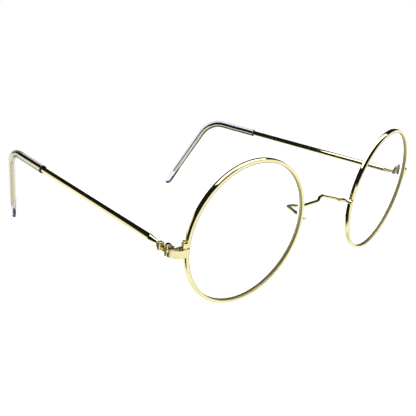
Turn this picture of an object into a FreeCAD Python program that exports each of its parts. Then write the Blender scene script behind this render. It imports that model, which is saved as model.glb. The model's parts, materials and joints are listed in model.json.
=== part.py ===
import FreeCAD
import Part
import math
import os

# Round wire eyeglasses, standing open on the two rim bottoms and the two sleeve tips.
# Everything is modelled upright in the "front frame": X towards the wearer's left ear,
# Y from the lenses back to the ears, Z up along the rims, origin midway between the lenses.
# main() then leans the assembly forwards onto the surface that it stands on, with the
# origin in the middle of its base. All sizes are in millimetres, angles in degrees.

# ---- rims and lenses ----
EYE_X = 40.15                # lens centre to the middle of the bridge
EYE_WRAP = 6.8               # each rim is turned back by this much at the temple side
RIM_RADIUS = 25.0            # outside radius of the eyewire
RIM_THICK = 1.2              # eyewire, radially
RIM_DEPTH = 1.9              # eyewire, front to back
RIM_CROWN = 0.05             # how far the outer face of the wire bulges
RIM_EDGE = 0.18              # rounding of the wire's long edges
GROOVE_DEPTH = 0.50
GROOVE_MOUTH = 1.00
SPLIT_GAP = 0.45             # the cut in the eyewire, closed by the closing screw
LENS_THICK = 1.9
LENS_CURVE = 130.0           # radius of the front surface
LENS_CLEARANCE = 0.03

# ---- bridge wire ----
BRIDGE_WIRE_RADIUS = 0.66
BRIDGE_STUB = (14.72, -4.55, 0.95)
BRIDGE_ON_RIM = (14.58, -1.95, 0.88)
BRIDGE_ELBOW = (10.95, 6.35, 0.45)
BRIDGE_SHOULDER = (8.2, 5.95, 0.30)
BRIDGE_CREST = (5.0, 4.15, 0.25)
BRIDGE_BEND_RADII = (3.0, 0.85, 4.0, 6.0)

# ---- closure, end piece and hinge: one set of parts, turned over for the left side ----
SPLIT_Z = -0.5               # middle of the cut in the right eyewire
BLOCK_DEPTH = 1.8            # closing blocks, front to back
BLOCK_OUT = 1.20             # closing blocks, outwards from the rim
BLOCK_UPPER = 1.5
BLOCK_LOWER = 1.7
BLOCK_ROUNDING = 0.5         # of the two upright edges away from the rim
CLOSE_SCREW_OUT = 0.60       # closing screw's middle, outwards from the rim
CLOSE_SCREW_RADIUS = 0.34
CLOSE_HEAD_RADIUS = 0.55
CLOSE_HEAD = 0.75
HEAD_ROUNDING = 0.15
PLATE_FRONT = 0.93           # the end piece's front face is flush with the rim's
PLATE_THICK = 3.0
PLATE_HEIGHT = 3.2
PLATE_TAPER = 0.45           # less high at the hinge than at the rim
PLATE_EDGE = 0.25            # rounding of the end piece's long edges
PLATE_OUT = 1.15             # the end piece starts to curl back this far out from the rim
PLATE_BEND = 4.0             # radius of the end piece's outer face
PLATE_TURN = 75.0            # how far round the curl goes, before it is cut off
PLATE_ROOT = 1.6             # straight part at the rim, most of it cut away to fit the eyewire
PLATE_END_Y = 4.75           # the end piece is cut off square here and the front leaf is brazed on
HINGE_X = 68.4
HINGE_Y = 6.4
KNUCKLE_RADIUS = 1.15
HINGE_Z = -1.88              # middle of the right hinge's stack of knuckles
KNUCKLE_HEIGHT = 1.10
KNUCKLE_EDGE = 0.12
KNUCKLE_GAP = 0.08
KNUCKLE_SWING = 0.10         # room round a knuckle for its neighbour to turn
PIN_RADIUS = 0.50
PIN_CLEARANCE = 0.04
PIN_HEAD_RADIUS = 0.92
PIN_HEAD = 0.35
SLOT_WIDTH = 0.28
SLOT_DEPTH = 0.2
LEAF_WIDTH = 1.8
TAB_FRONT_Y = 7.75           # front face of the temple tab, the block behind the knuckles
TAB_REAR_Y = 9.5
TAB_WIDTH = 2.2
TAB_BELOW = 0.70             # the tab reaches this far above and below the temple wire's middle
TAB_SLOPE = 0.9              # how far back the tab is full height at the knuckle's level
TAB_OVERLAP = 0.6            # the knuckle's web reaches this far into the tab
TAB_EDGE = 0.35

# ---- temples ----
TEMPLE_START = (69.65, 10.0, -0.51)
TEMPLE_TOE_IN = 7.0          # the temples close in towards the ears
TEMPLE_DROP = 3.44           # and come down slightly
TEMPLE_STRAIGHT = 99.6       # from TEMPLE_START to the middle of the ear bend
BAR_RADIUS = 1.1
BAR_NOSE = 1.6               # the bar's front end reaches this far past TEMPLE_START
NECK_RADIUS = 0.55           # the bar is drawn down to a neck where it enters the tab
NECK_END = -0.6              # the neck ends this far behind TEMPLE_START
TAPER_END = 3.4              # and the bar has its full radius from here
CORE_RADIUS = 0.50
EAR_DROP = (-0.271, 0.3385, -0.901)
EAR_LENGTH = 41.6
EAR_BEND_RADIUS = 13.0
SLEEVE_AHEAD = 27.2          # the sleeve starts this far ahead of the middle of the ear bend
SLEEVE_RADIUS = 1.58
SLEEVE_BORE = 0.54
SLEEVE_END_WALL = 8.0        # solid plastic beyond the end of the core wire
CORE_OVERLAP = 1.0           # the core wire starts this far inside the bar
CORE_END_ROOM = 0.1
BAR_ROUNDING = 0.3
PADDLE_LENGTH = 13.0
# How far along the paddle, then half its width and half its thickness there.
PADDLE_STATIONS = ((0.0, 1.66, 1.60), (0.35, 1.85, 1.42), (0.65, 2.05, 1.20),
                   (0.85, 1.80, 1.02), (0.96, 1.10, 0.72), (1.0, 0.45, 0.35))

BEYOND = 20.0                # longer than any part near the hinge, for cutting tools

UP = FreeCAD.Vector(0, 0, 1)


def vec(x, y, z=0.0):
    return FreeCAD.Vector(x, y, z)


def unit(direction):
    out = FreeCAD.Vector(direction)
    out.normalize()
    return out


# ---------------------------------------------------------------- general helpers

def rounded_path(points, radii):
    """Straight runs through the points, with a tangent arc of each given radius at the inner ones."""
    edges = []
    here = points[0]
    for before, corner, after, radius in zip(points, points[1:], points[2:], radii):
        back = unit(before - corner)
        ahead = unit(after - corner)
        half = back.getAngle(ahead) / 2
        tangent = radius / math.tan(half)
        start = corner + back * tangent
        end = corner + ahead * tangent
        inward = unit(back + ahead)
        middle = corner + inward * (radius / math.sin(half) - radius)
        edges.append(Part.LineSegment(here, start).toShape())
        edges.append(Part.Arc(start, middle, end).toShape())
        here = end
    edges.append(Part.LineSegment(here, points[-1]).toShape())
    return Part.Wire(edges)


def rod_along(path, start, direction, radius):
    """Round rod of one radius along a path of straight runs and tangent arcs."""
    ring = Part.Wire(Part.makeCircle(radius, start, direction))
    return path.makePipeShell([ring], True, True)


def upright_cylinder(radius, x, y, low, high):
    return Part.makeCylinder(radius, high - low, vec(x, y, low), UP)


def box_between(low, high):
    size = high - low
    return Part.makeBox(size.x, size.y, size.z, low)


def screw_slot(x, y, top):
    """Screwdriver slot across the head of a vertical screw."""
    low = vec(x - PIN_HEAD_RADIUS, y - SLOT_WIDTH / 2, top - SLOT_DEPTH)
    high = vec(x + PIN_HEAD_RADIUS, y + SLOT_WIDTH / 2, top + SLOT_DEPTH)
    return box_between(low, high)


def screw(x, y, foot, seat, shank_radius, head_radius, head_height):
    """Vertical screw with a plain shank and a rounded, slotted head."""
    top = seat + head_height
    shank = upright_cylinder(shank_radius, x, y, foot, seat)
    head = upright_cylinder(head_radius, x, y, seat, top)
    rim = [edge for edge in head.Edges if edge.CenterOfMass.z > top - HEAD_ROUNDING]
    head = soften(head, HEAD_ROUNDING, rim)
    return shank.fuse(head).removeSplitter().cut(screw_slot(x, y, top))


def soften(shape, radius, edges):
    """Round the given edges; a rounding that the shape can't take is left off."""
    try:
        out = shape.makeFillet(radius, edges)
    except Part.OCCError:
        return shape
    return out if out.isValid() else shape


def mirrored(shape):
    """The wearer's right-hand copy of a part modelled on the left."""
    return shape.mirror(vec(0, 0), vec(1, 0))


def turned_over(shape):
    """The left copy of a hinge-side part: the right-hand one turned half a turn about Y."""
    return shape.mirror(vec(0, 0), UP)


# ---------------------------------------------------------------- frames of reference

def eye_placement():
    """From a rim's own frame (Y along the lens axis, X towards the temple) to the front frame."""
    return FreeCAD.Placement(vec(EYE_X, 0), FreeCAD.Rotation(UP, EYE_WRAP))


def at_eye(shape):
    out = shape.copy()
    out.Placement = eye_placement().multiply(out.Placement)
    return out


def temple_direction():
    """Unit vector along the straight of the left temple, towards the ear."""
    toe_in = math.tan(math.radians(TEMPLE_TOE_IN))
    drop = math.tan(math.radians(TEMPLE_DROP))
    return unit(vec(-toe_in, 1, -drop))


def temple_points():
    """Start of the bar, middle of the ear bend and tip of the left temple's middle line."""
    start = vec(*TEMPLE_START)
    bend = start + temple_direction() * TEMPLE_STRAIGHT
    tip = bend + unit(vec(*EAR_DROP)) * EAR_LENGTH
    return start, bend, tip


# ---------------------------------------------------------------- rims and lenses

def eyewire_section():
    """Wire section: crowned outside, rounded edges, and a V groove inside for the lens."""
    half = RIM_DEPTH / 2
    inner = RIM_RADIUS - RIM_THICK
    outer = RIM_RADIUS - RIM_CROWN
    mouth = GROOVE_MOUTH / 2
    corner = RIM_EDGE * (1 - math.sqrt(0.5))
    groove = [vec(inner, -half + RIM_EDGE), vec(inner, -mouth), vec(inner + GROOVE_DEPTH, 0),
              vec(inner, mouth), vec(inner, half - RIM_EDGE)]
    edges = [Part.LineSegment(a, b).toShape() for a, b in zip(groove, groove[1:])]
    corners = (
        (vec(inner, half - RIM_EDGE), vec(inner + corner, half - corner), vec(inner + RIM_EDGE, half)),
        (vec(outer - RIM_EDGE, half), vec(outer - corner, half - corner), vec(outer, half - RIM_EDGE)),
        (vec(outer, -half + RIM_EDGE), vec(outer - corner, -half + corner), vec(outer - RIM_EDGE, -half)),
        (vec(inner + RIM_EDGE, -half), vec(inner + corner, -half + corner), vec(inner, -half + RIM_EDGE)))
    edges += [Part.Arc(*three).toShape() for three in corners]
    edges.append(Part.LineSegment(corners[0][2], corners[1][0]).toShape())
    edges.append(Part.Arc(corners[1][2], vec(RIM_RADIUS, 0), corners[2][0]).toShape())
    edges.append(Part.LineSegment(corners[2][2], corners[3][0]).toShape())
    return Part.Face(Part.Wire(Part.__sortEdges__(edges)))


def split_wedge():
    """Thin upright slice at the temple side of the rim, where the eyewire is cut."""
    low = vec(RIM_RADIUS - 2 * RIM_THICK, -RIM_DEPTH, SPLIT_Z - SPLIT_GAP / 2)
    high = vec(RIM_RADIUS + RIM_THICK, RIM_DEPTH, SPLIT_Z + SPLIT_GAP / 2)
    return box_between(low, high)


def make_eyewire():
    ring = eyewire_section().revolve(vec(0, 0), vec(0, 1), 360)
    return at_eye(Part.Solid(ring).cut(split_wedge()))


def make_lens():
    """Meniscus lens with a bevelled edge that sits in the eyewire's groove."""
    back_curve = LENS_CURVE - LENS_THICK
    seat = RIM_RADIUS - RIM_THICK
    edge = seat - LENS_CLEARANCE
    bevel = seat + GROOVE_DEPTH - 3 * LENS_CLEARANCE
    half_bevel = GROOVE_MOUTH / 2 - LENS_CLEARANCE
    front_sag = LENS_CURVE - math.sqrt(LENS_CURVE ** 2 - edge ** 2)
    back_sag = back_curve - math.sqrt(back_curve ** 2 - edge ** 2)
    front_edge = -LENS_THICK / 2
    front_pole = front_edge - front_sag
    back_pole = front_pole + LENS_THICK
    back_edge = back_pole + back_sag
    mid = edge / 2
    front_mid = front_pole + LENS_CURVE - math.sqrt(LENS_CURVE ** 2 - mid ** 2)
    back_mid = back_pole + back_curve - math.sqrt(back_curve ** 2 - mid ** 2)
    outline = [
        Part.Arc(vec(0, front_pole), vec(mid, front_mid), vec(edge, front_edge)),
        Part.LineSegment(vec(edge, front_edge), vec(edge, -half_bevel)),
        Part.LineSegment(vec(edge, -half_bevel), vec(bevel, 0)),
        Part.LineSegment(vec(bevel, 0), vec(edge, half_bevel)),
        Part.LineSegment(vec(edge, half_bevel), vec(edge, back_edge)),
        Part.Arc(vec(edge, back_edge), vec(mid, back_mid), vec(0, back_pole)),
        Part.LineSegment(vec(0, back_pole), vec(0, front_pole))]
    face = Part.Face(Part.Wire([piece.toShape() for piece in outline]))
    return at_eye(Part.Solid(face.revolve(vec(0, 0), vec(0, 1), 360)))


def rim_room():
    """The whole tube-shaped space that the eyewire fills, used to cut what is brazed to it."""
    tube = Part.makeCylinder(RIM_RADIUS, 2 * RIM_DEPTH, vec(0, -RIM_DEPTH), vec(0, 1))
    tube = tube.common(eyewire_section().revolve(vec(0, 0), vec(0, 1), 360))
    return at_eye(tube)


# ---------------------------------------------------------------- bridge

def make_bridge():
    half = [vec(*point) for point in
            (BRIDGE_STUB, BRIDGE_ON_RIM, BRIDGE_ELBOW, BRIDGE_SHOULDER, BRIDGE_CREST)]
    other = [vec(-point.x, point.y, point.z) for point in reversed(half)]
    points = half + other
    radii = BRIDGE_BEND_RADII + BRIDGE_BEND_RADII[::-1]
    path = rounded_path(points, radii)
    wire = rod_along(path, points[0], points[1] - points[0], BRIDGE_WIRE_RADIUS)
    return wire.cut(rim_room()).cut(mirrored(rim_room()))


# ---------------------------------------------------------------- closure and end piece

def closing_screw_room():
    """Bore for the closing screw, through both blocks and past them, in the rim's own frame."""
    radius = CLOSE_SCREW_RADIUS + PIN_CLEARANCE
    x = RIM_RADIUS + CLOSE_SCREW_OUT
    return upright_cylinder(radius, x, 0, SPLIT_Z - 2 * BLOCK_LOWER, SPLIT_Z + 2 * BLOCK_UPPER)


def closing_block(low, high):
    """Rounded block brazed to the outside of one end of the eyewire, bored for the closing screw."""
    inner = RIM_RADIUS - RIM_THICK / 2
    outer = RIM_RADIUS + BLOCK_OUT
    block = box_between(vec(inner, -BLOCK_DEPTH / 2, low), vec(outer, BLOCK_DEPTH / 2, high))
    upright = [edge for edge in block.Edges
               if abs(edge.tangentAt(edge.FirstParameter).z) > 0.99 and edge.CenterOfMass.x > RIM_RADIUS]
    block = soften(block, BLOCK_ROUNDING, upright)
    return block.cut(closing_screw_room())


def make_upper_block():
    low = SPLIT_Z + SPLIT_GAP / 2
    block = closing_block(low, low + BLOCK_UPPER)
    return at_eye(block).cut(rim_room())


def make_lower_block():
    high = SPLIT_Z - SPLIT_GAP / 2
    block = closing_block(high - BLOCK_LOWER, high)
    return at_eye(block).cut(rim_room())


def make_closing_screw():
    seat = SPLIT_Z + SPLIT_GAP / 2 + BLOCK_UPPER
    foot = SPLIT_Z - SPLIT_GAP / 2 - BLOCK_LOWER
    return at_eye(screw(RIM_RADIUS + CLOSE_SCREW_OUT, 0, foot, seat,
                        CLOSE_SCREW_RADIUS, CLOSE_HEAD_RADIUS, CLOSE_HEAD))


def make_endpiece():
    """Curved block that leaves the rim outwards and curls back to the hinge, lower towards the hinge."""
    wrap = math.radians(EYE_WRAP)
    outward = vec(math.cos(wrap), math.sin(wrap))
    backward = vec(-math.sin(wrap), math.cos(wrap))
    centre = vec(EYE_X, 0) + outward * (RIM_RADIUS + PLATE_OUT) + backward * (PLATE_BEND - PLATE_FRONT)
    turn = math.radians(PLATE_TURN)

    def on_arc(radius, angle):
        return centre + outward * (radius * math.sin(angle)) - backward * (radius * math.cos(angle))

    outer = PLATE_BEND
    inner = PLATE_BEND - PLATE_THICK
    root = outward * PLATE_ROOT
    outline = [
        Part.LineSegment(on_arc(outer, 0) - root, on_arc(outer, 0)),
        Part.Arc(on_arc(outer, 0), on_arc(outer, turn / 2), on_arc(outer, turn)),
        Part.LineSegment(on_arc(outer, turn), on_arc(inner, turn)),
        Part.Arc(on_arc(inner, turn), on_arc(inner, turn / 2), on_arc(inner, 0)),
        Part.LineSegment(on_arc(inner, 0), on_arc(inner, 0) - root),
        Part.LineSegment(on_arc(inner, 0) - root, on_arc(outer, 0) - root)]
    high = SPLIT_Z - SPLIT_GAP / 2
    low = high - PLATE_HEIGHT
    face = Part.Face(Part.Wire([piece.toShape() for piece in outline]))
    face.translate(vec(0, 0, low))
    plate = face.extrude(vec(0, 0, PLATE_HEIGHT))
    plate = plate.cut(under_plate(low)).cut(beyond_plate())
    plate = soften(plate, PLATE_EDGE, long_edges(plate))
    plate = plate.cut(rim_room()).cut(make_lower_block()).cut(at_eye(closing_screw_room()))
    pieces = sorted(plate.Solids, key=lambda solid: solid.Volume)
    return pieces[-1]


def under_plate(low):
    """Wedge that takes the end piece's underside up towards the hinge."""
    outline = [vec(0, 0, low), vec(0, PLATE_END_Y, low + PLATE_TAPER), vec(0, BEYOND, low + PLATE_TAPER),
               vec(0, BEYOND, low - 1), vec(0, 0, low - 1), vec(0, 0, low)]
    wedge = Part.Face(Part.makePolygon(outline)).extrude(vec(2 * RIM_RADIUS, 0, 0))
    wedge.translate(vec(EYE_X, 0, 0))
    return wedge


def beyond_plate():
    """Everything behind the square end where the front leaf is brazed on."""
    return box_between(vec(EYE_X, PLATE_END_Y, -BEYOND), vec(EYE_X + 2 * RIM_RADIUS, BEYOND, BEYOND))


def long_edges(plate):
    """The end piece's edges that run from the rim to the hinge, top and bottom, outside and inside."""
    return [edge for edge in plate.Edges if isinstance(edge.Curve, (Part.Circle, Part.Ellipse))]


# ---------------------------------------------------------------- hinge

def knuckle_span(index):
    """Low and high of a knuckle, counted down from the top one."""
    middle = HINGE_Z + (1 - index) * (KNUCKLE_HEIGHT + KNUCKLE_GAP)
    return middle - KNUCKLE_HEIGHT / 2, middle + KNUCKLE_HEIGHT / 2


def pin_room(low, high):
    return upright_cylinder(PIN_RADIUS + PIN_CLEARANCE, HINGE_X, HINGE_Y, low, high)


def knuckle(bottom, top):
    barrel = upright_cylinder(KNUCKLE_RADIUS, HINGE_X, HINGE_Y, bottom, top)
    return soften(barrel, KNUCKLE_EDGE, [edge for edge in barrel.Edges if edge.Closed])


def make_front_leaf():
    """Top and bottom knuckles on a small plate brazed to the end piece."""
    low = knuckle_span(2)[0]
    high = knuckle_span(0)[1]
    back = HINGE_Y - KNUCKLE_RADIUS - KNUCKLE_SWING
    half = LEAF_WIDTH / 2
    leaf = box_between(vec(HINGE_X - half, PLATE_END_Y, low), vec(HINGE_X + half, back, high))
    for index in (0, 2):
        bottom, top = knuckle_span(index)
        leaf = leaf.fuse(box_between(vec(HINGE_X - half, PLATE_END_Y, bottom), vec(HINGE_X + half, HINGE_Y, top)))
    leaf = leaf.removeSplitter()
    along = [edge for edge in leaf.Edges if abs(edge.tangentAt(edge.FirstParameter).y) > 0.99]
    leaf = soften(leaf, KNUCKLE_EDGE, along)
    for index in (0, 2):
        leaf = leaf.fuse(knuckle(*knuckle_span(index)))
    return leaf.cut(pin_room(low - 1, high + 1))


def make_hinge_screw():
    low = knuckle_span(2)[0]
    high = knuckle_span(0)[1]
    return screw(HINGE_X, HINGE_Y, low, high, PIN_RADIUS, PIN_HEAD_RADIUS, PIN_HEAD)


def make_temple_leaf(side):
    """Middle knuckle on a rounded tab that the temple wire is brazed into.

    The knuckle is below the wire on the right temple (side -1) and above it on the left (side +1).
    """
    below, above = knuckle_span(1)
    near = -side * above
    far = -side * below
    bottom = min(near, far)
    top = max(near, far)
    start = vec(*TEMPLE_START)
    left = start.x - TAB_WIDTH / 2
    wire_side = start.z - side * TAB_BELOW
    slope = start.z + side * BAR_RADIUS / 2
    outline = [vec(left, TAB_FRONT_Y, far), vec(left, TAB_FRONT_Y, wire_side),
               vec(left, TAB_REAR_Y, wire_side), vec(left, TAB_REAR_Y, slope),
               vec(left, TAB_FRONT_Y + TAB_SLOPE, far), vec(left, TAB_FRONT_Y, far)]
    tab = Part.Face(Part.makePolygon(outline)).extrude(vec(TAB_WIDTH, 0, 0))
    tab = soften(tab, TAB_EDGE, tab.Edges)
    web = box_between(vec(HINGE_X - LEAF_WIDTH / 2, HINGE_Y, bottom),
                      vec(start.x, TAB_FRONT_Y + TAB_OVERLAP, top))
    swing = KNUCKLE_RADIUS + KNUCKLE_SWING
    room = upright_cylinder(swing, HINGE_X, HINGE_Y, bottom - BEYOND, bottom)
    room = room.fuse(upright_cylinder(swing, HINGE_X, HINGE_Y, top, top + BEYOND))
    along = [edge for edge in web.Edges if abs(edge.tangentAt(edge.FirstParameter).y) > 0.99]
    web = soften(web, KNUCKLE_EDGE, along)
    leaf = knuckle(bottom, top).fuse(web).fuse(tab).cut(room)
    return leaf.cut(pin_room(bottom - 1, top + 1)).cut(make_bar())


# ---------------------------------------------------------------- temples

def make_bar():
    """Straight part of the temple wire, from the neck in the tab to the mouth of the sleeve."""
    start, bend, tip = temple_points()
    along = temple_direction()
    neck = Part.makeCylinder(NECK_RADIUS, BAR_NOSE + NECK_END, start - along * BAR_NOSE, along)
    taper = Part.makeCone(NECK_RADIUS, BAR_RADIUS, TAPER_END - NECK_END, start + along * NECK_END, along)
    length = TEMPLE_STRAIGHT - SLEEVE_AHEAD - TAPER_END
    bar = Part.makeCylinder(BAR_RADIUS, length, start + along * TAPER_END, along)
    rear = [edge for edge in bar.Edges if edge.Closed and (edge.CenterOfMass - start).Length > length]
    return neck.fuse(taper).fuse(soften(bar, BAR_ROUNDING, rear))


def temple_path(first, last):
    """Middle line of the ear part, from `first` ahead of the bend to `last` beyond it."""
    start, bend, tip = temple_points()
    along = temple_direction()
    down = unit(tip - bend)
    return rounded_path([bend - along * first, bend, bend + down * last], [EAR_BEND_RADIUS])


def make_temple_wire():
    along = temple_direction()
    bend = temple_points()[1]
    first = SLEEVE_AHEAD + CORE_OVERLAP
    path = temple_path(first, EAR_LENGTH - SLEEVE_END_WALL)
    core = rod_along(path, bend - along * first, along, CORE_RADIUS)
    return make_bar().fuse(core).removeSplitter()


def paddle_section(centre, axis, wide, long_radius, short_radius):
    """Ellipse square to the sleeve, its long way in the plane of the ear bend."""
    thin = axis.cross(wide)
    ellipse = Part.Ellipse(centre + wide * long_radius, centre + thin * short_radius, centre)
    return Part.Wire(ellipse.toShape())


def make_sleeve():
    """Clear plastic sleeve over the ear part, flattened to a paddle at its tip."""
    start, bend, tip = temple_points()
    along = temple_direction()
    down = unit(tip - bend)
    wide = unit(along - down * along.dot(down))
    paddle_start = tip - down * PADDLE_LENGTH
    path = temple_path(SLEEVE_AHEAD, EAR_LENGTH - PADDLE_LENGTH)
    tube = rod_along(path, bend - along * SLEEVE_AHEAD, along, SLEEVE_RADIUS)
    sections = [paddle_section(paddle_start + down * (part * PADDLE_LENGTH), down, wide, long_r, short_r)
                for part, long_r, short_r in PADDLE_STATIONS]
    paddle = Part.makeLoft(sections, True, False)
    first = SLEEVE_AHEAD + CORE_OVERLAP
    bore_path = temple_path(first, EAR_LENGTH - SLEEVE_END_WALL + CORE_END_ROOM)
    bore = rod_along(bore_path, bend - along * first, along, SLEEVE_BORE)
    return tube.fuse(paddle).cut(bore)


# ---------------------------------------------------------------- assembly

def everything():
    """All nodes by name, in the front frame."""
    nodes = {}
    both_sides = {
        "eyewire": make_eyewire(),
        "closing_block_upper": make_upper_block(),
        "closing_block_lower": make_lower_block(),
        "closing_screw": make_closing_screw(),
        "endpiece": make_endpiece(),
        "hinge_leaf_front": make_front_leaf(),
        "hinge_screw": make_hinge_screw()}
    for name, shape in both_sides.items():
        nodes[name + "_right"] = mirrored(shape)
        nodes[name + "_left"] = turned_over(shape)
    for name, shape in {"lens": make_lens(), "temple_wire": make_temple_wire(),
                        "temple_sleeve": make_sleeve()}.items():
        nodes[name + "_right"] = mirrored(shape)
        nodes[name + "_left"] = shape
    nodes["hinge_leaf_temple_right"] = mirrored(make_temple_leaf(-1))
    nodes["hinge_leaf_temple_left"] = make_temple_leaf(1)
    nodes["bridge_wire"] = make_bridge()
    return nodes


def leaned(shape, lean, offset):
    """The shape leaned forwards about X by an angle in degrees, then moved by the offset."""
    out = shape.copy()
    out.Placement = FreeCAD.Placement(offset, FreeCAD.Rotation(vec(1, 0), lean)).multiply(out.Placement)
    return out


def bottom_of(shape, lean):
    return leaned(shape, lean, vec(0, 0)).optimalBoundingBox().ZMin


def standing_lean(rim, sleeve):
    """The lean that puts the rim bottoms and the sleeve tips on one surface."""
    low, high = 0.0, 30.0
    while high - low > 0.001:
        middle = (low + high) / 2
        if bottom_of(rim, middle) > bottom_of(sleeve, middle):
            low = middle
        else:
            high = middle
    return low


def standing_offset(nodes, lean):
    """Moves the leaned assembly so that the middle of its base is the origin."""
    boxes = [leaned(shape, lean, vec(0, 0)).optimalBoundingBox() for shape in nodes.values()]
    front = min(box.YMin for box in boxes)
    back = max(box.YMax for box in boxes)
    bottom = min(box.ZMin for box in boxes)
    return vec(0, -(front + back) / 2, -bottom)


def main():
    os.makedirs("parts", exist_ok=True)
    nodes = everything()
    lean = standing_lean(nodes["eyewire_left"], nodes["temple_sleeve_left"])
    offset = standing_offset(nodes, lean)
    for name, shape in nodes.items():
        leaned(shape, lean, offset).exportStep(os.path.join("parts", name + ".step"))
        print(name, "solids", len(shape.Solids), "valid", shape.isValid(), "volume", round(shape.Volume, 2))
    print("lean", round(lean, 4), "offset", round(offset.y, 4), round(offset.z, 4))


main()
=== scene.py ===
import json
import math

import bmesh
import bpy
from mathutils import Matrix, Vector


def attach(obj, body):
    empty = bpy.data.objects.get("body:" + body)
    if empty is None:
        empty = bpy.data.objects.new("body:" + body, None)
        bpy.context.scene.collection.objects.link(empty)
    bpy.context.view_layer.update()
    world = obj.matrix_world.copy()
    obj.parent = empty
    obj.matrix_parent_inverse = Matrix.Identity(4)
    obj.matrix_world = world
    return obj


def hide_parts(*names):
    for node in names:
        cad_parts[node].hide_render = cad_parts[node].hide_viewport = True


# Round wire eyeglasses. The shapes are built in millimetres in the upright "front frame":
# X towards the wearer's left ear, Y back to the ears, Z up along the rims, origin midway
# between the lenses. TO_ROW then leans them onto the floor, in metres, where the CAD is.

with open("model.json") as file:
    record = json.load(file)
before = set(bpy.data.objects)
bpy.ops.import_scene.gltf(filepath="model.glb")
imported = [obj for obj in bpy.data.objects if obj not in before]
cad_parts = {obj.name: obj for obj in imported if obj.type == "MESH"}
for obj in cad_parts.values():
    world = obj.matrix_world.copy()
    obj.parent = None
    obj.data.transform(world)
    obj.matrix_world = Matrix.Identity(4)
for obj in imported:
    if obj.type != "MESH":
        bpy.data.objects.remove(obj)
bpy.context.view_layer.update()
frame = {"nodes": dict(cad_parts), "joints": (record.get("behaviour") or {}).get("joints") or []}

MM = 0.001
HINGE = Vector((68.4, 6.4, 0.0))

# rims and lenses
EYE_X = 40.15
EYE_WRAP = 6.8
RIM_RADIUS = 25.0
RIM_THICK = 1.2
RIM_DEPTH = 1.9
RIM_CROWN = 0.12
RIM_EDGE = 0.18
EDGE_POINTS = 6
CROWN_POINTS = 8
GROOVE_DEPTH = 0.50
GROOVE_MOUTH = 1.00
SPLIT_Z = -0.5
SPLIT_GAP = 0.45
RIM_STEPS = 300
LENS_THICK = 1.9
LENS_CURVE = 130.0
LENS_CLEARANCE = 0.03
LENS_STEPS = 192
LENS_RINGS = 24

# bridge
BRIDGE_POINTS = ((14.72, -4.55, 0.95), (14.58, -1.95, 0.88), (10.95, 6.35, 0.45), (8.2, 5.95, 0.30),
                 (5.0, 4.15, 0.25))
BRIDGE_BENDS = (3.0, 0.85, 4.0, 6.0)
BRIDGE_RADIUS = 0.66
BRIDGE_STEP = 0.25
BRIDGE_SIDES = 28
BRIDGE_NOSE = 0.35
SOLDER_AT = 4.6
SOLDER_LENGTH = 1.1
SOLDER_HEIGHT = 0.22

# temples
TEMPLE_START = Vector((69.65, 10.0, -0.51))
TOE_IN = 7.0
DROP = 3.44
STRAIGHT = 99.6
BAR_RADIUS = 1.1
BAR_NOSE = 1.6
NECK_RADIUS = 0.55
NECK_END = -0.6
TAPER_END = 3.4
NOSE_ROUND = 0.4
NOSE_FINE = 8.0
NOSE_STEP = 0.1
BAR_END_ROUND = 0.5
BAR_END_RADIUS = 0.86
BAR_END_STEP = 0.15
BAR_SIDES = 40
CLOSE_STATIONS = (-0.5, -0.35, -0.2, -0.1, 0.0, 0.05, 0.1, 0.15, 0.2)
CLOSE_REACH = 0.55
CORE_RADIUS = 0.50
EAR_DROP = Vector((-0.271, 0.3385, -0.901))
EAR_LENGTH = 41.6
EAR_BEND = 13.0
TEMPLE_STEP = 0.5

# sleeves; the paddle's tables give (distance before the tip, half of the width or thickness)
SLEEVE_AHEAD = 27.2
SLEEVE_RADIUS = 1.58
SLEEVE_SIDES = 48
SLEEVE_BORE = 0.54
BORE_START = 0.02
BORE_PAST_CORE = 0.1
SLEEVE_END_WALL = 8.0
SLEEVE_LIP = 0.35
LIP_STATIONS = (0.0, 0.05, 0.12, 0.22, 0.35)
TIP_ROUND = 1.9
TIP_FINE = 1.5
TIP_STATIONS = (1.4, 1.0, 0.7, 0.45, 0.25, 0.1, 0.0)
PADDLE_WIDTHS = ((13.0, SLEEVE_RADIUS), (6.5, 1.95), (3.25, 2.05), (1.6, 1.75))
PADDLE_THICKNESSES = ((13.0, SLEEVE_RADIUS), (6.5, 1.3), (1.95, 1.02), (0.0, 0.9))


# ------------------------------------------------------------------ frame of reference

def front_to_row():
    """The CAD's own lean and place, read from the left hinge."""
    joint = next(j for j in frame["joints"] if j["name"] == "temple_left_fold")
    axis = joint["axis"]
    lean = Matrix.Rotation(math.atan2(-axis[1], axis[2]), 4, "X")
    offset = Vector(joint["pos_m"]) - lean @ (HINGE * MM)
    return Matrix.Translation(offset) @ lean @ Matrix.Scale(MM, 4)


TO_ROW = front_to_row()
MIRROR = Matrix.Scale(-1, 4, Vector((1, 0, 0)))
TURN_OVER = Matrix.Scale(-1, 4, Vector((0, 0, 1)))
TO_EYE = Matrix.Translation((EYE_X, 0, 0)) @ Matrix.Rotation(math.radians(EYE_WRAP), 4, "Z")


# ------------------------------------------------------------------ mesh helpers

def skin(rings, caps=True):
    """Vertices and faces of a surface through rings that have the same number of points."""
    count = len(rings[0])
    points = [point for ring in rings for point in ring]
    faces = []
    for i in range(len(rings) - 1):
        a = i * count
        b = a + count
        for j in range(count):
            k = (j + 1) % count
            faces.append((a + j, a + k, b + k, b + j))
    if caps:
        faces.append(tuple(reversed(range(count))))
        last = (len(rings) - 1) * count
        faces.append(tuple(last + j for j in range(count)))
    return points, faces


def face_outwards(mesh):
    """Turns every face of a closed mesh to the outside."""
    solid = bmesh.new()
    solid.from_mesh(mesh)
    bmesh.ops.recalc_face_normals(solid, faces=solid.faces)
    solid.to_mesh(mesh)
    solid.free()


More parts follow.
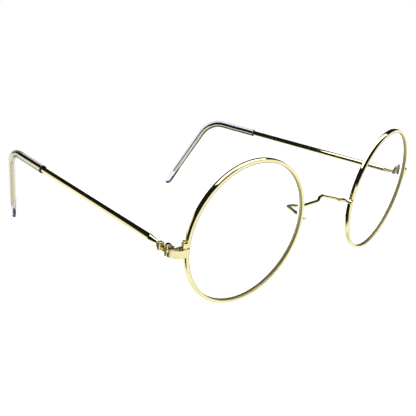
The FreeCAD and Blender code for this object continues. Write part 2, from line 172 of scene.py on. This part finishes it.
def add_piece(name, shape, placement, material, body, replaced, sharp=40.0):
    """A mesh object in the row frame that rides on a body and stands for a CAD node."""
    points, faces = shape
    mesh = bpy.data.meshes.new(name)
    mesh.from_pydata([placement @ point for point in points], [], faces)
    face_outwards(mesh)
    mesh.shade_smooth()
    mesh.set_sharp_from_angle(angle=math.radians(sharp))
    mesh.materials.append(material)
    obj = bpy.data.objects.new(name, mesh)
    bpy.context.scene.collection.objects.link(obj)
    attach(obj, body)
    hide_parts(replaced)
    return obj


def rounded_line(points, radii, step):
    """Points along straight runs joined by tangent arcs."""
    out = [points[0]]
    for before, corner, after, radius in zip(points, points[1:], points[2:], radii):
        back = (before - corner).normalized()
        ahead = (after - corner).normalized()
        half = back.angle(ahead) / 2
        tangent = radius / math.tan(half)
        start = corner + back * tangent
        inward = (back + ahead).normalized()
        centre = corner + inward * (radius / math.sin(half))
        extend(out, start, step)
        sweep = math.pi - 2 * half
        pieces = max(6, int(sweep * radius / step))
        axis = back.cross(ahead).normalized()
        for i in range(1, pieces + 1):
            turn = Matrix.Rotation(-sweep * i / pieces, 3, axis)
            out.append(centre + turn @ (start - centre))
    extend(out, points[-1], step)
    return out


def extend(line, target, step):
    """Adds evenly spaced points up to the target."""
    start = line[-1]
    pieces = max(1, int((target - start).length / step))
    for i in range(1, pieces + 1):
        line.append(start.lerp(target, i / pieces))


def lengths_along(line):
    """The length of the line from its start to each of its points."""
    out = [0.0]
    for a, b in zip(line, line[1:]):
        out.append(out[-1] + (b - a).length)
    return out


def tube(line, radius_at, sides=32, up=Vector((0, 0, 1))):
    """Rings square to a line, not twisted; radius_at(distance) gives a radius or an (across, up) pair."""
    rings = []
    side = None
    for i, distance in enumerate(lengths_along(line)):
        a = line[max(i - 1, 0)]
        b = line[min(i + 1, len(line) - 1)]
        along = (b - a).normalized()
        if side is None:
            side = along.cross(up).normalized()
        side = (side - along * side.dot(along)).normalized()
        high = side.cross(along)
        radius = radius_at(distance)
        wide, tall = radius if isinstance(radius, tuple) else (radius, radius)
        rings.append([line[i] + side * (wide * math.cos(turn)) + high * (tall * math.sin(turn))
                      for turn in (2 * math.pi * k / sides for k in range(sides))])
    return rings


def ramp(value, stations, eased=True):
    """Interpolation in a table of (position, value) pairs, eased in and out or in straight lines."""
    if value <= stations[0][0]:
        return stations[0][1]
    for (a, low), (b, high) in zip(stations, stations[1:]):
        if value <= b:
            part = (value - a) / (b - a)
            if eased:
                part = part * part * (3 - 2 * part)
            return low + (high - low) * part
    return stations[-1][1]


def end_rounding(distance, length, least=0.02):
    """Factor on a radius that rounds an end off over a length."""
    return math.sqrt(max(least, 1 - (1 - min(distance / length, 1.0)) ** 2))


# ------------------------------------------------------------------ materials

def new_material(name):
    """An empty node material, with its nodes and links."""
    material = bpy.data.materials.new(name)
    material.use_nodes = True
    material.node_tree.nodes.clear()
    return material, material.node_tree.nodes, material.node_tree.links


def gold(name, colour, roughness, scale):
    """Polished gold plating: faint tonal drift, hairline polishing marks and a little uneven gloss."""
    material, nodes, links = new_material(name)
    out = nodes.new("ShaderNodeOutputMaterial")
    shader = nodes.new("ShaderNodeBsdfPrincipled")
    shader.inputs["Metallic"].default_value = 1.0
    place = nodes.new("ShaderNodeTexCoord")
    drift = nodes.new("ShaderNodeTexNoise")
    drift.inputs["Scale"].default_value = 60.0 * scale
    drift.inputs["Detail"].default_value = 4.0
    tone = nodes.new("ShaderNodeValToRGB")
    deep = [part * factor for part, factor in zip(colour, (0.93, 0.90, 0.84))]
    bright = [min(1, part * factor) for part, factor in zip(colour, (1.03, 1.03, 1.08))]
    tone.color_ramp.elements[0].position = 0.3
    tone.color_ramp.elements[0].color = (*deep, 1)
    tone.color_ramp.elements[1].position = 0.7
    tone.color_ramp.elements[1].color = (*bright, 1)
    marks = nodes.new("ShaderNodeTexNoise")
    marks.inputs["Scale"].default_value = 900.0 * scale
    marks.inputs["Detail"].default_value = 6.0
    gloss = nodes.new("ShaderNodeMapRange")
    gloss.inputs["To Min"].default_value = roughness * 0.6
    gloss.inputs["To Max"].default_value = roughness * 1.5
    bump = nodes.new("ShaderNodeBump")
    bump.inputs["Strength"].default_value = 0.06
    bump.inputs["Distance"].default_value = 0.00003
    links.new(place.outputs["Object"], drift.inputs["Vector"])
    links.new(place.outputs["Object"], marks.inputs["Vector"])
    links.new(drift.outputs["Fac"], tone.inputs["Fac"])
    links.new(tone.outputs["Color"], shader.inputs["Base Color"])
    links.new(marks.outputs["Fac"], gloss.inputs["Value"])
    links.new(gloss.outputs["Result"], shader.inputs["Roughness"])
    links.new(marks.outputs["Fac"], bump.inputs["Height"])
    links.new(bump.outputs["Normal"], shader.inputs["Normal"])
    links.new(shader.outputs["BSDF"], out.inputs["Surface"])
    return material


def clear_lens():
    """Coated lens: what is behind it shows straight through, under a faint reflection."""
    material, nodes, links = new_material("clear_lens")
    out = nodes.new("ShaderNodeOutputMaterial")
    clear = nodes.new("ShaderNodeBsdfTransparent")
    clear.inputs["Color"].default_value = (0.985, 0.99, 0.99, 1)
    coat = nodes.new("ShaderNodeBsdfGlossy")
    coat.inputs["Roughness"].default_value = 0.01
    fresnel = nodes.new("ShaderNodeFresnel")
    fresnel.inputs["IOR"].default_value = 1.5
    place = nodes.new("ShaderNodeTexCoord")
    film = nodes.new("ShaderNodeTexNoise")
    film.inputs["Scale"].default_value = 40.0
    weight = nodes.new("ShaderNodeMapRange")
    weight.inputs["To Min"].default_value = 0.05
    weight.inputs["To Max"].default_value = 0.12
    amount = nodes.new("ShaderNodeMath")
    amount.operation = "MULTIPLY"
    mix = nodes.new("ShaderNodeMixShader")
    links.new(place.outputs["Object"], film.inputs["Vector"])
    links.new(film.outputs["Fac"], weight.inputs["Value"])
    links.new(weight.outputs["Result"], amount.inputs[0])
    links.new(fresnel.outputs["Fac"], amount.inputs[1])
    links.new(amount.outputs["Value"], mix.inputs["Fac"])
    links.new(clear.outputs["BSDF"], mix.inputs[1])
    links.new(coat.outputs["BSDF"], mix.inputs[2])
    links.new(mix.outputs["Shader"], out.inputs["Surface"])
    return material


def clear_plastic():
    """Clear refracting plastic with a faint blue tint that builds up with depth."""
    material, nodes, links = new_material("clear_sleeve")
    out = nodes.new("ShaderNodeOutputMaterial")
    shader = nodes.new("ShaderNodeBsdfPrincipled")
    shader.inputs["Base Color"].default_value = (0.95, 0.955, 0.985, 1)
    shader.inputs["Roughness"].default_value = 0.02
    shader.inputs["IOR"].default_value = 1.46
    shader.inputs["Transmission Weight"].default_value = 1.0
    place = nodes.new("ShaderNodeTexCoord")
    wave = nodes.new("ShaderNodeTexNoise")
    wave.inputs["Scale"].default_value = 120.0
    bump = nodes.new("ShaderNodeBump")
    bump.inputs["Strength"].default_value = 0.04
    bump.inputs["Distance"].default_value = 0.0001
    absorb = nodes.new("ShaderNodeVolumeAbsorption")
    absorb.inputs["Color"].default_value = (0.30, 0.36, 0.76, 1)
    absorb.inputs["Density"].default_value = 105.0
    clear = nodes.new("ShaderNodeBsdfTransparent")
    clear.inputs["Color"].default_value = (0.88, 0.91, 0.96, 1)
    path = nodes.new("ShaderNodeLightPath")
    mix = nodes.new("ShaderNodeMixShader")
    links.new(place.outputs["Object"], wave.inputs["Vector"])
    links.new(wave.outputs["Fac"], bump.inputs["Height"])
    links.new(bump.outputs["Normal"], shader.inputs["Normal"])
    links.new(path.outputs["Is Shadow Ray"], mix.inputs["Fac"])
    links.new(shader.outputs["BSDF"], mix.inputs[1])
    links.new(clear.outputs["BSDF"], mix.inputs[2])
    links.new(mix.outputs["Shader"], out.inputs["Surface"])
    links.new(absorb.outputs["Volume"], out.inputs["Volume"])
    return material


def optical_contact():
    """Wall between the plastic and the core wire that it is moulded onto: light passes straight through."""
    material, nodes, links = new_material("optical_contact")
    out = nodes.new("ShaderNodeOutputMaterial")
    clear = nodes.new("ShaderNodeBsdfTransparent")
    links.new(clear.outputs["BSDF"], out.inputs["Surface"])
    return material


def painted_glow_lens_edge():
    """Ground back edge of the lens with a painted glow: it emits a little light of its own, so that it
    looks white.
    """
    material, nodes, links = new_material("ground_lens_edge_painted_glow")
    out = nodes.new("ShaderNodeOutputMaterial")
    shader = nodes.new("ShaderNodeBsdfPrincipled")
    shader.inputs["Base Color"].default_value = (0.95, 0.95, 0.93, 1)
    shader.inputs["Roughness"].default_value = 0.6
    shader.inputs["Emission Color"].default_value = (1, 1, 0.99, 1)
    place = nodes.new("ShaderNodeTexCoord")
    grain = nodes.new("ShaderNodeTexNoise")
    grain.inputs["Scale"].default_value = 300.0
    # Strength of the painted glow, varied a little by the grain noise.
    glow = nodes.new("ShaderNodeMapRange")
    glow.inputs["To Min"].default_value = 0.85
    glow.inputs["To Max"].default_value = 0.95
    links.new(place.outputs["Object"], grain.inputs["Vector"])
    links.new(grain.outputs["Fac"], glow.inputs["Value"])
    links.new(glow.outputs["Result"], shader.inputs["Emission Strength"])
    links.new(shader.outputs["BSDF"], out.inputs["Surface"])
    return material


def floor_material():
    """White paper that glows a little, so that it stays pale under the object."""
    material, nodes, links = new_material("white_sweep")
    out = nodes.new("ShaderNodeOutputMaterial")
    shader = nodes.new("ShaderNodeBsdfPrincipled")
    shader.inputs["Base Color"].default_value = (0.9, 0.9, 0.9, 1)
    shader.inputs["Roughness"].default_value = 0.9
    shader.inputs["Specular IOR Level"].default_value = 0.1
    shader.inputs["Emission Color"].default_value = (1, 1, 1, 1)
    shader.inputs["Emission Strength"].default_value = 1.0
    links.new(shader.outputs["BSDF"], out.inputs["Surface"])
    return material


GOLD_WIRE = gold("gold_wire", (0.84, 0.78, 0.44), 0.06, 1.0)
GOLD_FITTING = gold("gold_fitting", (0.86, 0.80, 0.46), 0.24, 2.0)
GOLD_KNOB = gold("gold_knob", (0.76, 0.69, 0.37), 0.28, 2.0)
GOLD_SCREW = gold("gold_screw", (0.80, 0.69, 0.30), 0.16, 3.0)
CLEAR_LENS = clear_lens()
CLEAR_SLEEVE = clear_plastic()
CONTACT = optical_contact()
# Painted glow: the lens's ground back edge emits light so that it looks white.
PAINTED_GLOW_EDGE = painted_glow_lens_edge()
# Painted shade: a darker, rougher gold on the lens's side and bevel faces, standing in for the shade in the
# groove of the rim.
BEVEL_PAINTED_SHADE = gold("gold_bevel_painted_shade", (0.62, 0.57, 0.33), 0.55, 2.0)


# ------------------------------------------------------------------ eyewires and lenses

def arc_points(centre, radius, first, last, count):
    """Evenly spaced points on an arc between two angles in degrees."""
    out = []
    for i in range(count):
        turn = math.radians(first + (last - first) * i / (count - 1))
        out.append((centre[0] + radius * math.cos(turn), centre[1] + radius * math.sin(turn)))
    return out


def eyewire_section():
    """(radius, depth) points round the wire: V groove inside, rounded edges, crowned outside."""
    half = RIM_DEPTH / 2
    inner = RIM_RADIUS - RIM_THICK
    outer = RIM_RADIUS - RIM_CROWN
    edge = RIM_EDGE
    mouth = GROOVE_MOUTH / 2
    points = [(inner, -mouth), (inner + GROOVE_DEPTH, 0.0), (inner, mouth)]
    points += arc_points((inner + edge, half - edge), edge, 180, 90, EDGE_POINTS)
    points += arc_points((outer - edge, half - edge), edge, 90, 0, EDGE_POINTS)
    span = half - edge
    for i in range(1, CROWN_POINTS):
        depth = span - 2 * span * i / CROWN_POINTS
        points.append((outer + RIM_CROWN * (1 - (depth / span) ** 2), depth))
    points += arc_points((outer - edge, -half + edge), edge, 0, -90, EDGE_POINTS)
    points += arc_points((inner + edge, -half + edge), edge, -90, -180, EDGE_POINTS)
    return points


def eyewire():
    """The rim wire, from one side of the cut round to the other."""
    section = eyewire_section()
    middle = math.asin(SPLIT_Z / RIM_RADIUS)
    gap = SPLIT_GAP / 2 / RIM_RADIUS
    rings = []
    for i in range(RIM_STEPS + 1):
        turn = middle + gap + (2 * math.pi - 2 * gap) * i / RIM_STEPS
        rings.append([Vector((radius * math.cos(turn), depth, radius * math.sin(turn)))
                      for radius, depth in section])
    return skin(rings)


def sag(curve, distance):
    """Depth of a sphere of radius curve at a distance from its pole."""
    return curve - math.sqrt(curve ** 2 - distance ** 2)


def lens():
    """Meniscus lens with a bevelled edge, as rings from the front pole round to the back pole."""
    back_curve = LENS_CURVE - LENS_THICK
    seat = RIM_RADIUS - RIM_THICK
    edge = seat - LENS_CLEARANCE
    bevel = seat + GROOVE_DEPTH - 3 * LENS_CLEARANCE
    half_bevel = GROOVE_MOUTH / 2 - LENS_CLEARANCE
    front_pole = -LENS_THICK / 2 - sag(LENS_CURVE, edge)
    back_pole = front_pole + LENS_THICK
    steps = [edge * (i / LENS_RINGS) for i in range(1, LENS_RINGS + 1)]
    profile = [(distance, front_pole + sag(LENS_CURVE, distance)) for distance in steps]
    profile += [(edge, -half_bevel), (bevel, 0.0), (edge, half_bevel)]
    profile += [(distance, back_pole + sag(back_curve, distance)) for distance in reversed(steps)]
    rings = [[Vector((radius * math.cos(turn), depth, radius * math.sin(turn)))
              for turn in (2 * math.pi * k / LENS_STEPS for k in range(LENS_STEPS))]
             for radius, depth in profile]
    points, faces = skin(rings, caps=False)
    faces = [tuple(reversed(face)) for face in faces]
    first = len(points)
    points += [Vector((0, front_pole, 0)), Vector((0, back_pole, 0))]
    last = (len(rings) - 1) * LENS_STEPS
    for k in range(LENS_STEPS):
        after = (k + 1) % LENS_STEPS
        faces.append((first, k, after))
        faces.append((first + 1, last + after, last + k))
    return points, faces


# ------------------------------------------------------------------ bridge

def bridge():
    """Bent bridge wire from rim to rim, a little thicker at the solder on each side."""
    half = [Vector(point) for point in BRIDGE_POINTS]
    other = [Vector((-p.x, p.y, p.z)) for p in reversed(half)]
    line = rounded_line(half + other, BRIDGE_BENDS + BRIDGE_BENDS[::-1], BRIDGE_STEP)
    total = lengths_along(line)[-1]

    def radius(distance):
        distance = min(distance, total - distance)
        solder = SOLDER_HEIGHT * math.exp(-((distance - SOLDER_AT) / SOLDER_LENGTH) ** 2)
        return (BRIDGE_RADIUS + solder) * end_rounding(distance, BRIDGE_NOSE)

    return skin(tube(line, radius, BRIDGE_SIDES))


# ------------------------------------------------------------------ temples

def temple_axes():
    """Bend and tip of the left temple's middle line, with the directions before and after the bend."""
    along = Vector((-math.tan(math.radians(TOE_IN)), 1, -math.tan(math.radians(DROP)))).normalized()
    down = EAR_DROP.normalized()
    bend = TEMPLE_START + along * STRAIGHT
    return bend, bend + down * EAR_LENGTH, along, down


def with_close_points(line, front, along, where):
    """The line with close points around a step in the radius."""
    before = [p for p in line if (p - front).dot(along) < where - CLOSE_REACH]
    close = [front + along * (where + offset) for offset in CLOSE_STATIONS]
    after = [p for p in line if (p - front).dot(along) > where + CLOSE_REACH]
    return before + close + after


def bar_and_core():
    """Stout bar with a tapered neck from the hinge to the sleeve, then the thin core inside the sleeve."""
    bend, tip, along, down = temple_axes()
    front = TEMPLE_START - along * BAR_NOSE
    bar_end = STRAIGHT + BAR_NOSE - SLEEVE_AHEAD
    core_end = tip - down * SLEEVE_END_WALL
    line = rounded_line([front, bend, core_end], [EAR_BEND], TEMPLE_STEP)
    fine = [front + along * (i * NOSE_STEP) for i in range(round(NOSE_FINE / NOSE_STEP))]
    line = fine + [p for p in line if (p - front).length > NOSE_FINE]
    stations = ((0.0, NECK_RADIUS), (BAR_NOSE + NECK_END, NECK_RADIUS), (BAR_NOSE + TAPER_END, BAR_RADIUS),
                (bar_end - BAR_END_ROUND, BAR_RADIUS), (bar_end, BAR_END_RADIUS),
                (bar_end + BAR_END_STEP, CORE_RADIUS))

    def radius(distance):
        return ramp(distance, stations, eased=False) * end_rounding(distance, NOSE_ROUND)

    return skin(tube(with_close_points(line, front, along, bar_end), radius, BAR_SIDES))


def sleeve():
    """Clear sleeve: rounded mouth, bend over the ear, flattened tip, and the bore for the core wire."""
    bend, tip, along, down = temple_axes()
    wide = (along - down * along.dot(down)).normalized()
    mouth = bend - along * SLEEVE_AHEAD
    line = rounded_line([mouth, bend, tip], [EAR_BEND], TEMPLE_STEP)
    total = lengths_along(line)[-1]
    middle = [p for p in line if (p - tip).length > TIP_FINE and (p - mouth).dot(along) > SLEEVE_LIP]
    line = [mouth + along * distance for distance in LIP_STATIONS] + middle
    line += [tip - down * before for before in TIP_STATIONS]
    across = [(0, SLEEVE_RADIUS)] + [(total - before, half) for before, half in PADDLE_WIDTHS]
    thick = [(0, SLEEVE_RADIUS)] + [(total - before, half) for before, half in PADDLE_THICKNESSES]

    def radius(distance):
        lip = 1 - SLEEVE_LIP * (1 - end_rounding(distance, SLEEVE_LIP, 0.0)) / SLEEVE_RADIUS
        rounding = lip * end_rounding(total - distance, TIP_ROUND, 0.001)
        return (ramp(distance, thick) * rounding, ramp(distance, across) * rounding)

    outer = tube(line, radius, SLEEVE_SIDES, up=wide)
    bore_end = tip - down * (SLEEVE_END_WALL - BORE_PAST_CORE)
    bore_line = rounded_line([mouth + along * BORE_START, bend, bore_end], [EAR_BEND], TEMPLE_STEP)
    bore = tube(bore_line, lambda distance: SLEEVE_BORE, SLEEVE_SIDES, up=wide)
    points, faces = skin(bore[::-1] + outer)
    return points, faces, (len(bore) - 1) * SLEEVE_SIDES


# ------------------------------------------------------------------ build

def both_sides(name, shape, material, body="front", placement=Matrix.Identity(4)):
    """The same shape as a left piece and, mirrored, as a right piece."""
    out = []
    for side, mirror in (("left", Matrix.Identity(4)), ("right", MIRROR)):
        rides = body if body == "front" else body + "_" + side
        full = TO_ROW @ mirror @ placement
        out.append(add_piece("shaped_" + name + "_" + side, shape, full, material, rides,
                             name + "_" + side))
    return out


def build_rims():
    """Eyewires, with the left one turned over like its closure, and the lenses with their edges."""
    shape = eyewire()
    for side, turn in (("left", TURN_OVER), ("right", MIRROR)):
        add_piece("shaped_eyewire_" + side, shape, TO_ROW @ turn @ TO_EYE, GOLD_WIRE, "front",
                  "eyewire_" + side, sharp=50.0)
    for obj in both_sides("lens", lens(), CLEAR_LENS, placement=TO_EYE):
        # The lens's side and bevel faces get the painted-shade gold, and its ground back edge gets the
        # painted white glow.
        first = (LENS_RINGS - 1) * LENS_STEPS
        for slot, material in enumerate((BEVEL_PAINTED_SHADE, BEVEL_PAINTED_SHADE, BEVEL_PAINTED_SHADE, PAINTED_GLOW_EDGE), start=1):
            obj.data.materials.append(material)
            for face in obj.data.polygons[first:first + LENS_STEPS]:
                face.material_index = slot
            first += LENS_STEPS


def build_temples():
    """Temple wires and sleeves; the wall of the bore is where the sleeve meets the core."""
    both_sides("temple_wire", bar_and_core(), GOLD_WIRE, "temple")
    points, faces, bore_faces = sleeve()
    for obj in both_sides("temple_sleeve", (points, faces), CLEAR_SLEEVE, "temple"):
        obj.data.materials.append(CONTACT)
        for face in obj.data.polygons[:bore_faces]:
            face.material_index = 1


def finish_fittings():
    """The small CAD fittings keep their shape and get their metals."""
    metals = {"closing_block": GOLD_FITTING, "endpiece": GOLD_FITTING, "hinge_leaf_front": GOLD_FITTING,
              "hinge_leaf_temple": GOLD_KNOB, "closing_screw": GOLD_SCREW, "hinge_screw": GOLD_SCREW}
    for node, obj in frame["nodes"].items():
        for start, metal in metals.items():
            if node.startswith(start):
                obj.data.materials.clear()
                obj.data.materials.append(metal)


build_rims()
add_piece("shaped_bridge_wire", bridge(), TO_ROW, GOLD_WIRE, "front", "bridge_wire")
build_temples()
finish_fittings()


# ------------------------------------------------------------------ floor, light and camera

FLOOR_RADIUS = 0.45
FLOOR_SIDES = 96
FLOOR_HEIGHT = -0.00005

LAMP_WATTS = 0.17
LAMP_LENGTH = 0.24
LAMP_WIDTH = 0.068
LAMP_PLACE = (0.02, -0.010, 0.17)
LAMP_TURN = -8

# Surroundings that only reflections and refractions see. Directions are vectors, or degrees from
# straight back towards the wearer's left. An edge is a pair of cosines of the angle to a direction,
# between which a part of the surroundings fades in.
DOWN = (0, 0, -1)
FRONT = (0, -1, 0)
RIGHT = (-1, 0, 0)
PAPER_STRENGTH = 1.15
PAPER_EDGE = (-0.03, 0.05)
SHADED_EDGE = (0.80, 0.97)
SHADED_BY = 0.38
WALL_TOP = (-0.24, -0.14)
WALL_SIDE = (-0.02, 0.2)
SCREEN_BACK = -34
SCREEN_BACK_EDGE = (-0.03, 0.03)
SCREEN_FRONT = -92
SCREEN_FRONT_EDGE = (-0.05, 0.10)
SCREEN_FOOT = (0.76, 0.90)
ROOM_LEVEL = 0.01
WINDOW_EDGE = (0.0, 0.25)

CAMERA_PLACE = (-201.21, -119.06, 89.68)
CAMERA_YAW = 49.68
CAMERA_PITCH = 22.70
CAMERA_ROLL = 9.15
CAMERA_LENS = 59.8
CAMERA_SENSOR = 36.0
CAMERA_NEAR = 0.01


def add_floor():
    """White round floor, just under the object."""
    mesh = bpy.data.meshes.new("floor")
    turns = [2 * math.pi * i / FLOOR_SIDES for i in range(FLOOR_SIDES)]
    ring = [(FLOOR_RADIUS * math.cos(turn), FLOOR_RADIUS * math.sin(turn), FLOOR_HEIGHT) for turn in turns]
    mesh.from_pydata(ring, [], [tuple(range(FLOOR_SIDES))])
    mesh.materials.append(floor_material())
    floor = bpy.data.objects.new("floor", mesh)
    floor.visible_glossy = False
    floor.visible_transmission = False
    bpy.context.scene.collection.objects.link(floor)


def add_lamp():
    """Low soft box over the glasses, long from side to side."""
    light = bpy.data.lights.new("overhead", "AREA")
    light.shape = "RECTANGLE"
    light.size = LAMP_LENGTH
    light.size_y = LAMP_WIDTH
    light.energy = LAMP_WATTS
    obj = bpy.data.objects.new("overhead", light)
    obj.location = LAMP_PLACE
    obj.rotation_euler = (0, 0, math.radians(LAMP_TURN))
    obj.visible_camera = False
    bpy.context.scene.collection.objects.link(obj)


def calculate(nodes, links, operation, first, second):
    """A math node; each input is a number or the output of another node."""
    node = nodes.new("ShaderNodeMath")
    node.operation = operation
    for socket, value in zip(node.inputs, (first, second)):
        if isinstance(value, float):
            socket.default_value = value
        else:
            links.new(value, socket)
    return node.outputs["Value"]


def facing(nodes, links, direction, low, high):
    """Rises from 0 to 1 as the part of a ray along a direction goes from low to high."""
    place = nodes.new("ShaderNodeTexCoord")
    along = nodes.new("ShaderNodeVectorMath")
    along.operation = "DOT_PRODUCT"
    along.inputs[1].default_value = Vector(direction).normalized()
    fade = nodes.new("ShaderNodeMapRange")
    fade.interpolation_type = "SMOOTHSTEP"
    fade.inputs["From Min"].default_value = low
    fade.inputs["From Max"].default_value = high
    links.new(place.outputs["Generated"], along.inputs[0])
    links.new(along.outputs["Value"], fade.inputs["Value"])
    return fade.outputs["Result"]


def heading(degrees):
    """Level direction, in degrees from straight back towards the wearer's left."""
    turn = math.radians(degrees)
    return (math.sin(turn), math.cos(turn), 0.0)


def add_world():
    """White paper below the horizon and low on the wall at the right, with a dark screen before the wall.

    The camera sees plain white all round, and so do rays that leave the clear plastic towards the front.
    """
    world = bpy.data.worlds.new("studio")
    world.use_nodes = True
    nodes = world.node_tree.nodes
    links = world.node_tree.links
    nodes.clear()

    def both(operation, first, second):
        return calculate(nodes, links, operation, first, second)

    def towards(direction, edge):
        return facing(nodes, links, direction, *edge)

    paper = towards(DOWN, PAPER_EDGE)
    shaded = both("MULTIPLY", towards(DOWN, SHADED_EDGE), SHADED_BY)
    paper = both("MULTIPLY", paper, both("SUBTRACT", 1.0, shaded))
    wall = both("MINIMUM", towards(DOWN, WALL_TOP), towards(RIGHT, WALL_SIDE))
    paper = both("MAXIMUM", paper, wall)
    screen = both("MINIMUM", towards(heading(SCREEN_BACK - 90), SCREEN_BACK_EDGE),
                  towards(heading(SCREEN_FRONT + 90), SCREEN_FRONT_EDGE))
    screen = both("MINIMUM", screen, both("SUBTRACT", 1.0, towards(DOWN, SCREEN_FOOT)))
    paper = both("MULTIPLY", paper, both("SUBTRACT", 1.0, screen))
    paper = both("MAXIMUM", paper, ROOM_LEVEL)
    reflected = nodes.new("ShaderNodeBackground")
    reflected.inputs["Strength"].default_value = PAPER_STRENGTH
    links.new(paper, reflected.inputs["Color"])
    white = nodes.new("ShaderNodeBackground")
    white.inputs["Color"].default_value = (1, 1, 1, 1)
    path = nodes.new("ShaderNodeLightPath")
    mix = nodes.new("ShaderNodeMixShader")
    out = nodes.new("ShaderNodeOutputWorld")
    through = both("MULTIPLY", path.outputs["Is Transmission Ray"], towards(FRONT, WINDOW_EDGE))
    links.new(both("MAXIMUM", path.outputs["Is Camera Ray"], through), mix.inputs["Fac"])
    links.new(reflected.outputs["Background"], mix.inputs[1])
    links.new(white.outputs["Background"], mix.inputs[2])
    links.new(mix.outputs["Shader"], out.inputs["Surface"])
    bpy.context.scene.world = world


def add_camera():
    """The viewpoint, in the front frame: in front of the wearer's right lens, looking down and across."""
    yaw = math.radians(CAMERA_YAW)
    pitch = math.radians(CAMERA_PITCH)
    roll = math.radians(CAMERA_ROLL)
    ahead = Vector((math.sin(yaw) * math.cos(pitch), math.cos(yaw) * math.cos(pitch), -math.sin(pitch)))
    right = Vector((math.cos(yaw), -math.sin(yaw), 0))
    up = right.cross(ahead)
    tilted_right = right * math.cos(roll) + up * math.sin(roll)
    tilted_up = up * math.cos(roll) - right * math.sin(roll)
    lean = TO_ROW.to_3x3() * (1 / MM)
    axes = Matrix((lean @ tilted_right, lean @ tilted_up, lean @ -ahead)).transposed()
    camera = bpy.data.cameras.new("camera")
    camera.sensor_width = CAMERA_SENSOR
    camera.lens = CAMERA_LENS
    camera.clip_start = CAMERA_NEAR
    obj = bpy.data.objects.new("camera", camera)
    obj.matrix_world = Matrix.Translation(TO_ROW @ Vector(CAMERA_PLACE)) @ axes.to_4x4()
    bpy.context.scene.collection.objects.link(obj)
    bpy.context.scene.camera = obj


add_floor()
add_world()
add_lamp()
add_camera()
bpy.context.scene.view_settings.view_transform = "Standard"
